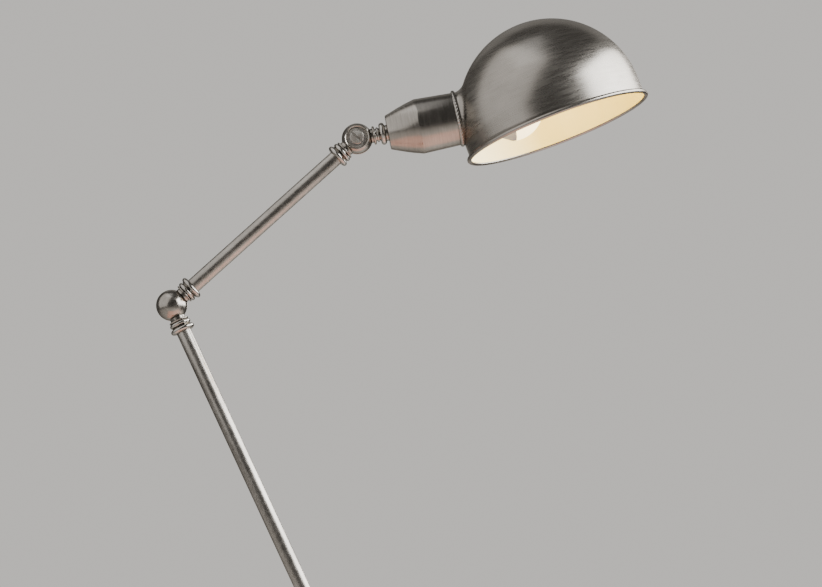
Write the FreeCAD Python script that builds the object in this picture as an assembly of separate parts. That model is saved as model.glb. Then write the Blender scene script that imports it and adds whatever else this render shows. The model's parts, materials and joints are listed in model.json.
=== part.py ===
"""Floor lamp with a jointed arm: a weighted round base, an upright, two arms and a domed task shade.

Three ball knuckles, each two half balls clamped face to face by a slotted screw, carry the arms and the head.
The head also turns about its own length on a hollow spigot. Every piece is written to parts/NAME.step, in mm,
+Z up, with the origin on the floor under the upright. The arms lie in the XZ plane, and the knuckles turn about Y.
"""

import FreeCAD, Part
import math
import os

Vector = FreeCAD.Vector
os.makedirs("parts", exist_ok=True)

# ---- Driving dimensions -------------------------------------------------------------------------------------

# How the lamp stands
shoulder_height = 800.0     # floor to the lowest knuckle's centre
lower_arm_length = 460.0    # knuckle centre to knuckle centre
upper_arm_length = 264.0
lower_arm_angle = -25.2     # degrees from straight up, towards +X
upper_arm_angle = 47.6
head_angle = 78.5

# Swing of each knuckle away from a straight line of its two stems, degrees, and its stops
shoulder_bend_range = (-60.0, 45.0)
elbow_bend_range = (-30.0, 100.0)
wrist_bend_range = (-90.0, 80.0)

# Tube
tube_od = 16.0
tube_wall = 1.2

# Ball knuckle
ball_r = 16.5
friction_ring_thick = 1.0
friction_ring_width = 3.6
pivot_screw_r = 3.0
pivot_head_r = 7.5
pivot_head_thick = 3.5
pivot_slot_width = 1.8
pivot_slot_depth = 1.5
recess_r = 11.4             # counterbore that the pivot screw's head sits in
recess_floor = 7.2          # from the knuckle's middle plane
spring_washer_thick = 0.8
spring_washer_rise = 0.7
stop_pin_r = 1.0
stop_pin_angle = 45.0       # degrees round from the tapped half's own stem

# Stem of a knuckle, its lock ring and the ferrule on the tube
neck_r = 8.2
neck_length = 0.8
stem_flange_r = 10.6
stem_flange_thick = 1.8
lock_ring_r = 11.5
lock_ring_thick = 5.2
ferrule_r = 13.1
ferrule_thick = 6.3
ferrule_spigot = 12.0       # length pushed into the tube
nipple_r = 5.0              # M10 x 1 hollow threaded rod
nipple_bore_r = 3.6
wire_bore_r = 4.0

# Base
base_r = 140.0
base_edge_height = 20.0
base_edge_round = 5.0
base_crown_height = 31.0
base_boss_r = 24.0
base_boss_height = 37.0
cover_wall = 1.2
pad_thick = 2.5
pad_margin = 7.0
plate_thick = 1.5
weight_thick = 21.5
weight_edge_thick = 12.5
plate_screw_count = 3
plate_screw_r = 2.0
plate_screw_circle_r = 70.0
gland_bore_r = 3.6          # takes a 7 mm round flex
gland_length = 8.0

# Head
collar_waist_r = 6.6
collar_bead_r = 8.0
collar_ring_r = 11.9
cup_start = 33.2            # from the wrist's centre, along the head
cup_back_r = 18.2
cup_shoulder_r = 29.3
cup_shoulder_at = 33.0      # from the cup's back
cup_mouth_r = 28.2
cup_length = 75.4
cup_wall = 1.2
mouth_thread_length = 2.2
mouth_thread_depth = 0.8
ring_over_mouth = 2.2       # how far the knurled ring stands out from the cup's mouth
shade_ring_length = 4.2
shade_ring_lip = 1.1
knurl_count = 48
knurl_r = 0.9

# Shade: a half ball on a short straight skirt, with a rolled rim and a flared neck on one side
dome_r = 98.4
skirt_height = 21.2
dome_stand = 1.0            # along the head, between the cup's mouth and the back of the dome's ball
dome_below = 12.0           # dome's centre below the head's axis
dome_lean = 8.8             # degrees that the dome's axis leans back towards the cup
shade_wall = 1.0
rim_bead_r = 2.4
neck_straight = 0.12        # before the neck starts to flare
neck_bite = 0.03            # how far the neck's fillet runs into the dome, so that the two surfaces cross
neck_under_mouth = 0.4      # how much smaller the neck's radius is than the cup's mouth

# Lamp and lampholder: a light-emitting-diode bulb, whose housing widens from the cap to a round diffuser
bulb_r = 35.0
bulb_length = 112.0
bulb_ahead = 92.4           # the bulb's far end, from the cup's mouth
diffuser_length = 35.0
bulb_collar_r = 34.8
bulb_collar_neck_r = 13.8
bulb_collar_wall = 1.5
bulb_glass_wall = 1.2
cap_r = 13.0
cap_length = 26.0
cap_engagement = 22.6       # how far the bulb's cap goes into the lampholder
holder_r = 19.5
holder_back = 22.0          # behind the bulb's contact
holder_shell_gap = 0.5
holder_shell_wall = 0.4

# Clearances
face_gap = 0.04             # between faces that rub
sweep_gap = 0.4             # round a ball, under the other half's stem
thread_gap = 0.03           # radial, thread crest to thread crest
pivot_gap = 0.05            # radial, turning fits
slip_gap = 0.1              # radial, a piece dropped into a seat
flare_gap = 0.3             # radial, the knurled ring's lip round the shade's flaring neck
press_gap = 0.01            # radial, a piece pushed home

# ---- What follows from them ---------------------------------------------------------------------------------

half_face = friction_ring_thick / 2 + face_gap
friction_ring_out = ball_r - 0.7
friction_ring_in = friction_ring_out - friction_ring_width
cavity_out = friction_ring_in - 0.2
cavity_in = pivot_screw_r + 3.4
stop_radius = (friction_ring_out + friction_ring_in) / 2
stop_slot_depth = 2.4
stop_pin_seat = 3.5

neck_end = ball_r + neck_length
stem_end = neck_end + stem_flange_thick
lock_ring_end = stem_end + lock_ring_thick
ferrule_end = lock_ring_end + ferrule_thick
nipple_start = ball_r + 0.6
nipple_end = ferrule_end + ferrule_spigot - 1.0
tube_id_r = tube_od / 2 - tube_wall

head_stem_end = ball_r + 3.2
collar_end = cup_start - 2.6
shade_neck_start = cup_start + cup_length
shade_ring_r = cup_mouth_r + ring_over_mouth
shade_neck_r = cup_mouth_r - neck_under_mouth
dome_ahead = shade_neck_start + dome_stand + dome_r
bulb_end = shade_neck_start + bulb_ahead

# The neck's fillet is as large as lets its flare start just ahead of the mouth, at the top where there is most room
neck_reach = dome_ahead - shade_neck_start - neck_straight
neck_top = shade_neck_r + dome_below
neck_fillet_r = (neck_reach ** 2 - dome_r ** 2 + neck_top ** 2) / (2 * (dome_r - neck_top))

shoulder = Vector(0, 0, shoulder_height)


def direction(angle):
    """Unit vector in the lamp's plane, angle degrees from +Z towards +X."""
    return Vector(math.sin(math.radians(angle)), 0, math.cos(math.radians(angle)))


elbow = shoulder + direction(lower_arm_angle) * lower_arm_length
wrist = elbow + direction(upper_arm_angle) * upper_arm_length

# ---- Shape helpers ------------------------------------------------------------------------------------------


def save(name, shape):
    """Writes one node's STEP file and checks that its solids are closed."""
    for solid in shape.Solids:
        assert solid.isValid() and solid.Volume > 0, name
    shape = shape.Solids[0] if len(shape.Solids) == 1 else Part.makeCompound(shape.Solids)
    shape.exportStep("parts/" + name + ".step")
    print(f"{name:24s} solids {len(shape.Solids)}  volume {shape.Volume / 1000:9.3f} cm3")


def seat(shape, at, angle):
    """Takes a shape built along +Z from the origin to a point in the lamp's plane, lying along an angle."""
    placed = shape.copy()
    placed.Placement = FreeCAD.Placement(at, FreeCAD.Rotation(Vector(0, 1, 0), angle)).multiply(placed.Placement)
    return placed


def turned(start, *steps):
    """Solid of revolution about Z. A step is (r, z) for a straight edge, or ((r, z), (r, z)) for an arc's middle
    and end."""
    def point(pair):
        return Vector(pair[0], 0, pair[1])

    edges, here = [], start
    for step in list(steps) + [start]:
        if isinstance(step[0], tuple):
            middle, there = step
            edges.append(Part.Arc(point(here), point(middle), point(there)).toShape())
        else:
            there = step
            if point(there).distanceToPoint(point(here)) > 1e-6:
                edges.append(Part.LineSegment(point(here), point(there)).toShape())
        here = there
    face = Part.Face(Part.Wire(edges))
    return face.revolve(Vector(0, 0, 0), Vector(0, 0, 1), 360)


def ring(r_in, r_out, z0, z1, edge=0.0):
    """Ring about Z whose outer edges are rounded by edge."""
    if edge == 0:
        return turned((r_in, z0), (r_out, z0), (r_out, z1), (r_in, z1))
    k = edge * (1 - math.sqrt(0.5))
    return turned(
        (r_in, z0), (r_out - edge, z0), ((r_out - k, z0 + k), (r_out, z0 + edge)), (r_out, z1 - edge),
        ((r_out - k, z1 - k), (r_out - edge, z1)), (r_in, z1),
    )


def rod(radius, z0, z1):
    """Cylinder about Z."""
    return Part.makeCylinder(radius, z1 - z0, Vector(0, 0, z0))


def cross_rod(radius, y0, y1, x=0.0, z=0.0):
    """Cylinder along Y."""
    return Part.makeCylinder(radius, y1 - y0, Vector(x, y0, z), Vector(0, 1, 0))


def cross_ring(r_in, r_out, y0, y1):
    """Ring about Y."""
    return cross_rod(r_out, y0, y1).cut(cross_rod(r_in, y0 - 1, y1 + 1))


def cross_sector(r_in, r_out, y0, y1, start, sweep):
    """Part of a ring about Y, from the start angle (from +Z towards +X) over the sweep, both in degrees."""
    corners = [Vector(0, y0, r_in), Vector(0, y0, r_out), Vector(0, y1, r_out), Vector(0, y1, r_in)]
    section = Part.Face(Part.makePolygon(corners + corners[:1]))
    section.rotate(Vector(0, 0, 0), Vector(0, 1, 0), start)
    return section.revolve(Vector(0, 0, 0), Vector(0, 1, 0), sweep)


def hexagon(across_flats, r_in, z0, z1):
    """Hexagon nut about Z."""
    corner = across_flats / math.sqrt(3)
    corners = [Vector(corner * math.cos(math.radians(60 * i)), corner * math.sin(math.radians(60 * i)), z0)
               for i in range(7)]
    blank = Part.Face(Part.makePolygon(corners)).extrude(Vector(0, 0, z1 - z0))
    return blank.cut(rod(r_in, z0 - 1, z1 + 1))


def mirrored(shape, recess_in_front):
    """Knuckle pieces are built with the screw's recess towards -Y; this turns them for a recess towards +Y."""
    return shape if recess_in_front else shape.mirror(Vector(0, 0, 0), Vector(0, 1, 0))


# ---- Ball knuckle -------------------------------------------------------------------------------------------


def half_ball(own_side, stem):
    """Half ball on one side of the middle plane (-1 front, +1 rear) with its stem, hollow for the leads. The stem
    is cut clear of the other half, which turns under it."""
    size = 3 * ball_r
    front = Part.makeBox(2 * size, size, 2 * size, Vector(-size, -half_face - size, -size))
    if own_side > 0:
        front = front.mirror(Vector(0, 0, 0), Vector(0, 1, 0))
    dome = Part.makeSphere(ball_r).common(front)
    swept = Part.makeSphere(ball_r + sweep_gap).cut(front)
    return dome.fuse(stem.cut(swept)).removeSplitter()


def arm_stem():
    """Neck and small flange that join a half ball to the lock ring."""
    edge = stem_flange_thick / 2
    return rod(neck_r, ball_r / 2, stem_end).fuse(ring(neck_r - 1, stem_flange_r, neck_end, stem_end, edge - 0.1))


def lead_way(stem_length):
    """Bore of a stem: plain in the ball, threaded size outside it."""
    return rod(wire_bore_r, cavity_in + 1.5, stem_length).fuse(
        rod(nipple_r + thread_gap, nipple_start - 0.2, stem_length + 1))


def screw_side_half(stem, stem_length, slot_start, slot_sweep):
    """Front half ball: the recess for the pivot screw's head, its hole, and the curved slot of the stop pin."""
    half = half_ball(-1, stem)
    half = half.cut(cross_rod(recess_r, -2 * ball_r, -recess_floor))
    half = half.cut(cross_rod(pivot_screw_r + pivot_gap, -ball_r, 0))
    half = half.cut(cross_ring(cavity_in, cavity_out, 2 - recess_floor, 0))
    half = half.cut(lead_way(stem_length))
    width = stop_pin_r + 0.15
    share = math.degrees((stop_pin_r + 0.2) / stop_radius)
    slot = cross_sector(stop_radius - width, stop_radius + width, -half_face - stop_slot_depth, 0,
                        slot_start - share, slot_sweep + 2 * share)
    return half.cut(slot)


def tapped_half(stem, stem_length):
    """Rear half ball: the smooth one, with the tapped hole and the stop pin's hole."""
    half = half_ball(1, stem)
    half = half.cut(cross_rod(pivot_screw_r + thread_gap, 0, ball_r - 5))
    half = half.cut(cross_ring(cavity_in, cavity_out, 0, ball_r / 2))
    half = half.cut(lead_way(stem_length))
    pin = direction(stop_pin_angle) * stop_radius
    return half.cut(cross_rod(stop_pin_r + press_gap, 0, half_face + stop_pin_seat + 0.1, pin.x, pin.z))


def pivot_screw():
    """Slotted screw with a softly domed head, along Y, its head to the front."""
    head_base = recess_floor + spring_washer_thick + spring_washer_rise + 2 * face_gap
    head_top = head_base + pivot_head_thick
    head = turned(
        (0, head_base), (pivot_head_r, head_base), (pivot_head_r, head_top - 1.2),
        ((pivot_head_r * 0.8, head_top - 0.35), (0, head_top)))
    shank = rod(pivot_screw_r, -(ball_r - 6.5), head_base)
    slot = Part.makeBox(4 * pivot_head_r, pivot_slot_width, pivot_slot_depth + 1,
                        Vector(-2 * pivot_head_r, -pivot_slot_width / 2, head_top - pivot_slot_depth))
    slot.rotate(Vector(0, 0, 0), Vector(0, 0, 1), 35)
    screw = head.fuse(shank).cut(slot).removeSplitter()
    screw.rotate(Vector(0, 0, 0), Vector(1, 0, 0), 90)
    return screw


def pivot_spring():
    """Dished spring washer under the pivot screw's head."""
    inner, outer = pivot_screw_r + 0.3, pivot_head_r + 0.4
    low = recess_floor + face_gap
    washer = turned((inner, low + spring_washer_rise), (outer, low), (outer, low + spring_washer_thick),
                    (inner, low + spring_washer_rise + spring_washer_thick))
    washer.rotate(Vector(0, 0, 0), Vector(1, 0, 0), 90)
    return washer


def friction_ring():
    """Fibre ring between the two half balls, pierced for the stop pin."""
    pin = direction(stop_pin_angle) * stop_radius
    half = friction_ring_thick / 2
    plain = cross_ring(friction_ring_in, friction_ring_out, -half, half)
    return plain.cut(cross_rod(stop_pin_r + 0.05, -1, 1, pin.x, pin.z))


def stop_pin():
    """Pin in the tapped half that runs in the other half's slot."""
    pin = direction(stop_pin_angle) * stop_radius
    return cross_rod(stop_pin_r, -half_face - stop_slot_depth + 0.4, half_face + stop_pin_seat, pin.x, pin.z)


def make_knuckle(name, centre, screw_stem_angle, tapped_stem_angle, swing, tapped_moves, recess_in_front,
                 tapped_stem, tapped_stem_length):
    """Writes a knuckle's six pieces. swing is the joint's range in degrees from rest, about +Y."""
    pin_now = tapped_stem_angle + stop_pin_angle - screw_stem_angle
    low, high = swing if tapped_moves else (-swing[1], -swing[0])
    screw_half = screw_side_half(arm_stem(), stem_end, (pin_now + low) % 360, high - low)
    save(name + "_screw_half", seat(mirrored(screw_half, recess_in_front), centre, screw_stem_angle))
    pieces = {
        "_tapped_half": tapped_half(tapped_stem, tapped_stem_length),
        "_friction_ring": friction_ring(),
        "_stop_pin": stop_pin(),
        "_pivot_screw": pivot_screw(),
        "_spring_washer": pivot_spring(),
    }
    for ending, shape in pieces.items():
        save(name + ending, seat(mirrored(shape, recess_in_front), centre, tapped_stem_angle))


# ---- Stem rings, ferrules and tubes -------------------------------------------------------------------------


def lock_ring():
    """Round-edged ring nut between a stem and a ferrule."""
    return ring(nipple_r + thread_gap, lock_ring_r, stem_end, lock_ring_end, lock_ring_thick / 2 - 0.6)


def ferrule():
    """Flanged end piece of a tube, with a spigot pushed into it."""
    z0, z1 = lock_ring_end, ferrule_end
    bore = nipple_r + thread_gap
    spigot_r = tube_id_r - press_gap
    crest = z1 - 1.7
    return turned(
        (bore, z0), (ferrule_r - 2.6, z0), (ferrule_r - 2.6, z0 + 1.2),
        ((ferrule_r - 0.7, z0 + 2.4), (ferrule_r, crest - 0.6)), (ferrule_r, crest),
        ((ferrule_r - 0.4, z1 - 0.5), (ferrule_r - 1.4, z1)), (spigot_r, z1),
        (spigot_r, z1 + ferrule_spigot - 0.8), (spigot_r - 0.8, z1 + ferrule_spigot), (bore, z1 + ferrule_spigot))


def nipple(z0, z1):
    """Hollow threaded rod, at its thread's outer size, with chamfered ends."""
    c = 0.5
    return turned((nipple_bore_r, z0), (nipple_r - c, z0), (nipple_r, z0 + c), (nipple_r, z1 - c),
                  (nipple_r - c, z1), (nipple_bore_r, z1))


def make_stem_sets(name, places):
    """Lock rings, ferrules and nipples on the stems at both ends of an arm; each kind is one group."""
    kinds = {"_lock_ring": lock_ring(), "_ferrule": ferrule(), "_nipple": nipple(nipple_start, nipple_end)}
    for ending, shape in kinds.items():
        pieces = [seat(shape, at, angle) for at, angle in places]
        save(name + ending + ("s" if len(pieces) > 1 else ""), Part.makeCompound(pieces))


def make_arm(name, start, angle, length):
    """One arm: its tube, and the set of rings at each end."""
    save(name + "_tube", seat(ring(tube_id_r, tube_od / 2, ferrule_end, length - ferrule_end), start, angle))
    make_stem_sets(name, [(start, angle), (start + direction(angle) * length, angle + 180)])


# ---- Base and upright ---------------------------------------------------------------------------------------


def dished(r, edge_z, crown_z, boss_r, boss_z, bottom_z, round_r):
    """Profile of the base cover's outer or inner side, from its bottom edge to the axis, as turned() steps."""
    k = round_r * (1 - math.sqrt(0.5))
    return [
        (r, bottom_z), (r, edge_z - round_r), ((r - k, edge_z - k), (r - round_r, edge_z)), (r - 17, edge_z + 1.0),
        ((r - 21, edge_z + 1.9), (r - 24, edge_z + 4.0)),
        ((r * 0.55, crown_z - 1.0), (boss_r + 8, crown_z)),
        ((boss_r + 2.2, crown_z + 1.9), (boss_r, boss_z - 2.5)), ((boss_r - 0.9, boss_z - 0.7), (boss_r - 3, boss_z)),
    ]


def make_base():
    """Base, upright and what holds them together. The rear side, +Y, has the cord's gland."""
    hole = nipple_r + slip_gap
    plate_z = pad_thick
    weight_z = plate_z + plate_thick
    weight_top = weight_z + weight_thick
    inner_r = base_r - cover_wall
    save("base_pad", rod(inner_r - pad_margin, 0, pad_thick))

    outside = dished(base_r, base_edge_height, base_crown_height, base_boss_r, base_boss_height, plate_z,
                     base_edge_round)
    inside = dished(inner_r, base_edge_height - cover_wall, base_crown_height - cover_wall, base_boss_r - cover_wall,
                    base_boss_height - cover_wall, plate_z, base_edge_round - cover_wall / 2)
    solid_outside = turned((0, plate_z), *outside, (0, base_boss_height))
    solid_inside = turned((0, plate_z), *inside, (0, base_boss_height - cover_wall))
    gland_z = weight_z + 6.5
    gland_hole_r = gland_bore_r + 2.0
    cover = solid_outside.cut(solid_inside).cut(rod(hole, 0, base_boss_height + 1))
    cover = cover.cut(cross_rod(gland_hole_r + slip_gap, inner_r - 10, base_r + 10, z=gland_z))
    save("base_cover", cover)

    # The gland's two flanges hold it in the cover's wall; the inner one stays clear of the wall's curve
    flange_r = gland_hole_r + 0.9
    inner_flange_r = gland_hole_r + 0.5
    gland_inner_y = inner_r - 3.3
    gland_outer_y = gland_inner_y + gland_length
    gland = cross_rod(gland_hole_r, gland_inner_y, gland_outer_y, z=gland_z)
    gland = gland.fuse(cross_rod(flange_r, base_r + 0.05, gland_outer_y, z=gland_z))
    gland = gland.fuse(cross_rod(inner_flange_r, gland_inner_y, inner_r - 1.3, z=gland_z))
    gland = gland.cut(cross_rod(gland_bore_r, gland_inner_y - 1, gland_outer_y + 1, z=gland_z))
    save("cord_gland", gland.removeSplitter())

    # Cast disc with a sunk seat for the nut underneath, a tunnel for the flex and drilled holes for the plate
    nut_seat_r, nut_seat_depth = 15.0, 9.0
    weight_r = inner_r - 9.0
    edge_top = weight_z + weight_edge_thick
    weight = turned((hole, weight_z), (weight_r - 2, weight_z), (weight_r, weight_z + 2), (weight_r, edge_top - 2),
                    (weight_r - 2, edge_top), (weight_r - 12, edge_top), (weight_r - 20, edge_top + 4.0),
                    (weight_r - 42, weight_top - 0.6), (weight_r - 54, weight_top), (hole, weight_top))
    weight = weight.cut(rod(nut_seat_r, weight_z - 1, weight_z + nut_seat_depth))
    tunnel_z = weight_z + 10.5
    tunnel = Part.makeBox(10, weight_r + 5, tunnel_z - weight_z + 1, Vector(-5, 0, weight_z - 1))
    weight = weight.cut(tunnel)
    bearings = [math.radians(30 + 360 / plate_screw_count * i) for i in range(plate_screw_count)]
    screw_spots = [(plate_screw_circle_r * math.cos(t), plate_screw_circle_r * math.sin(t)) for t in bearings]
    screw_depth = 11.0
    plate = ring(nut_seat_r, inner_r - slip_gap, plate_z, weight_z)
    screws = []
    for x, y in screw_spots:
        at = Vector(x, y, 0)
        bore = rod(plate_screw_r + thread_gap, weight_z - 1, weight_z + screw_depth)
        bore.translate(at)
        weight = weight.cut(bore)
        sink = turned((0, plate_z - 0.001), (2 * plate_screw_r + 0.1, plate_z - 0.001), (plate_screw_r + 0.1, weight_z),
                      (0, weight_z))
        sink.translate(at)
        plate = plate.cut(sink)
        screw = turned((0, plate_z), (2 * plate_screw_r - 0.1, plate_z), (plate_screw_r, weight_z - 0.1),
                       (plate_screw_r, weight_z + screw_depth - 2), (plate_screw_r - 1, weight_z + screw_depth - 1),
                       (0, weight_z + screw_depth - 1))
        cross = Part.makeBox(4.2, 0.8, 1.0, Vector(-2.1, -0.4, plate_z - 0.1))
        upright_cross = Part.makeBox(0.8, 4.2, 1.0, Vector(-0.4, -2.1, plate_z - 0.1))
        screw = screw.cut(cross).cut(upright_cross)
        screw.translate(at)
        screws.append(screw)
    save("base_weight", weight)
    save("base_plate", plate)
    save("base_plate_screws", Part.makeCompound(screws))

    # Spacer sleeve carries the clamping load from the weight up to the cover
    save("base_spacer", ring(hole, nipple_r + 4.0, weight_top, base_boss_height - cover_wall))
    washer_top = weight_z + nut_seat_depth
    save("base_lock_washer", ring(hole, 9.5, washer_top - 1.2, washer_top))
    save("base_nut", hexagon(14.0, nipple_r + thread_gap, washer_top - 6.2, washer_top - 1.2))

    foot_origin = Vector(0, 0, base_boss_height - stem_end)
    save("foot_lock_ring", seat(lock_ring(), foot_origin, 0))
    save("foot_ferrule", seat(ferrule(), foot_origin, 0))
    foot_end = foot_origin.z + ferrule_end
    save("foot_nipple", nipple(washer_top - 7.2, foot_end + ferrule_spigot - 1.0))
    save("upright_tube", ring(tube_id_r, tube_od / 2, foot_end, shoulder_height - ferrule_end))
    make_stem_sets("upright", [(shoulder, 180)])


# ---- Head ---------------------------------------------------------------------------------------------------


def head_stem():
    """The wrist's head-side stem: a neck and one round-edged ring."""
    ring_start = ball_r + sweep_gap + 0.2
    return rod(neck_r - 0.6, ball_r / 2, head_stem_end).fuse(
        ring(neck_r - 2, 10.0, ring_start, head_stem_end, (head_stem_end - ring_start) / 2 - 0.2))


def swivel_collar():
    """Turned collar with a small bead and a large ring, between the wrist's stem and the cup."""
    z0, z1 = head_stem_end, collar_end
    bore = nipple_r + thread_gap
    bead_mid = z0 + 2.6
    ring_start = bead_mid + 2.3
    ring_mid = (ring_start + z1) / 2
    half = (z1 - ring_start) / 2
    k = math.sqrt(0.5)
    swell = collar_ring_r - half
    return turned(
        (bore, z0), (collar_waist_r, z0), (collar_waist_r, bead_mid - 1.2), ((collar_bead_r, bead_mid),
        (collar_waist_r, bead_mid + 1.2)), (collar_waist_r, ring_start), (swell, ring_start),
        ((swell + half * k, ring_mid - half * k), (collar_ring_r, ring_mid)),
        ((swell + half * k, ring_mid + half * k), (swell, z1)), (bore, z1))


def cup_outline(inset):
    """Outside of the cup, or with an inset its inside, from the back's rim to the mouth, as turned() steps."""
    back = cup_start
    shoulder_at = back + cup_shoulder_at
    return [
        (cup_back_r - inset, back + inset),
        ((cup_back_r + 0.56 * (cup_shoulder_r - cup_back_r) - inset, back + cup_shoulder_at / 2 + inset / 2),
         (cup_shoulder_r - 0.5 - inset, shoulder_at - 2.5)),
        ((cup_shoulder_r - 0.12 - inset, shoulder_at), (cup_shoulder_r - inset, shoulder_at + 3.0)),
        (cup_mouth_r - inset, shade_neck_start - mouth_thread_length),
    ]


def make_head():
    """Collar, spigot, cup, lampholder, bulb and shade."""
    head = head_angle
    mouth = shade_neck_start
    pin_fit = nipple_r + pivot_gap
    thread_fit = nipple_r + thread_gap
    save("head_swivel_collar", seat(swivel_collar(), wrist, head))

    # The cup turns on the spigot, between a thin washer outside and a spring and two nuts inside
    cup_back = cup_start
    back_inside = cup_back + cup_wall
    washer_out = ring(pin_fit, 8.6, collar_end, cup_back - face_gap, 0.3)
    save("head_swivel_washer", seat(washer_out, wrist, head))
    spring_top = back_inside + 1.8
    spring = turned((pin_fit + 0.2, spring_top - 0.8), (9.0, back_inside + face_gap),
                    (9.0, back_inside + face_gap + 0.8), (pin_fit + 0.2, spring_top))
    save("head_swivel_spring", seat(spring, wrist, head))
    nut_start = spring_top + 2 * face_gap
    nut = hexagon(14.0, thread_fit, nut_start, nut_start + 3.5)
    jam_nut = hexagon(14.0, thread_fit, nut_start + 3.6, nut_start + 7.1)
    save("head_swivel_nuts", seat(Part.makeCompound([nut, jam_nut]), wrist, head))
    save("head_swivel_spigot", seat(nipple(nipple_start, nut_start + 9.0), wrist, head))

    # Cup: a spun shell with a threaded mouth and a step inside that the lampholder's flange rests on
    outline = cup_outline(0)
    inner = cup_outline(cup_wall)
    thread_r = cup_mouth_r - mouth_thread_depth
    inner_mouth_r = thread_r - 1.2
    flange_thick = 1.8
    flange_seat = mouth - flange_thick
    cup_blank = turned((0, cup_back), (cup_back_r - 1.0, cup_back), ((cup_back_r - 0.3, cup_back + 0.3),
                       (cup_back_r, cup_back + 1.0)), *outline[1:], (thread_r, mouth - mouth_thread_length),
                       (thread_r, mouth), (0, mouth))
    hollow = turned((0, back_inside), inner[0], *inner[1:3], (inner_mouth_r - 1.3, flange_seat - 3.0),
                    (inner_mouth_r - 1.3, flange_seat), (inner_mouth_r, flange_seat), (inner_mouth_r, mouth + 1),
                    (0, mouth + 1))
    cup = cup_blank.cut(hollow).cut(rod(pin_fit, cup_back - 1, back_inside + 1))
    save("lamp_cup", seat(cup, wrist, head))

    # Knurled ring: screws onto the cup's mouth and clamps the shade's flange and the lampholder's
    shade_flange_r = shade_neck_r + 1.0
    shade_flange_thick = 1.1
    ring_back = mouth - (shade_ring_length - shade_flange_thick - shade_ring_lip)
    ring_front = mouth + shade_flange_thick + shade_ring_lip
    blank = ring(thread_r + thread_gap, shade_ring_r, ring_back, ring_front, 0.5)
    blank = blank.cut(rod(shade_flange_r + slip_gap, mouth, mouth + shade_flange_thick + 0.02))
    blank = blank.cut(rod(shade_neck_r + flare_gap, mouth, ring_front + 1))
    for i in range(knurl_count):
        turn = math.radians(360.0 * i / knurl_count)
        groove = rod(knurl_r, ring_back - 1, ring_front + 1)
        groove.translate(Vector((shade_ring_r + 0.45) * math.cos(turn), (shade_ring_r + 0.45) * math.sin(turn), 0))
        blank = blank.cut(groove)
    save("shade_ring", seat(blank, wrist, head))

    make_shade(mouth, shade_flange_r, shade_flange_thick)
    make_lampholder(mouth, flange_seat, inner_mouth_r - slip_gap)


def make_shade(mouth, flange_r, flange_thick):
    """Dome, skirt, rolled rim, filleted neck and the neck's flange, as one spun shell."""
    to_dome = FreeCAD.Placement(Vector(dome_below, 0, dome_ahead), FreeCAD.Rotation(Vector(0, 1, 0), -90 - dome_lean))

    def dome(inset, below):
        """Half ball and skirt as a solid; the dome's axis leans back from square to the head."""
        radius = dome_r - inset
        k = math.sqrt(0.5)
        body = turned((0, -skirt_height - below), (radius, -skirt_height - below), (radius, 0),
                      ((radius * k, radius * k), (0, radius)))
        body.Placement = to_dome
        return body

    def neck(inset, z0):
        """Neck as a solid, filleted into the dome along its top; with an inset, the room inside it."""
        fillet = neck_fillet_r + inset
        radius = shade_neck_r - inset
        centre_r = shade_neck_r + neck_fillet_r
        across = centre_r + dome_below
        apart = dome_r + neck_fillet_r - neck_bite
        centre_z = dome_ahead - math.sqrt(apart ** 2 - across ** 2)
        full = math.asin(math.sqrt(apart ** 2 - across ** 2) / apart)

        def arc_point(t):
            return centre_r - fillet * math.cos(t), centre_z + fillet * math.sin(t)

        end_r = arc_point(full)[0]
        inner_end = centre_z + 18
        return turned((0, z0), (radius, z0), (radius, centre_z), (arc_point(full / 2), arc_point(full)),
                      (end_r, inner_end), (0, inner_end))

    outer = dome(0, 0).fuse(neck(0, mouth)).fuse(rod(flange_r, mouth, mouth + flange_thick))
    inner = dome(shade_wall, 5).fuse(neck(shade_wall, mouth - 1))
    shell = outer.cut(inner)
    rim = Part.makeTorus(dome_r + 1.5, rim_bead_r, Vector(0, 0, rim_bead_r - skirt_height))
    rim.Placement = to_dome.multiply(rim.Placement)
    shell = shell.fuse(rim.cut(dome(shade_wall, 5))).removeSplitter()
    save("shade", seat(shell, wrist, head_angle))


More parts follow.
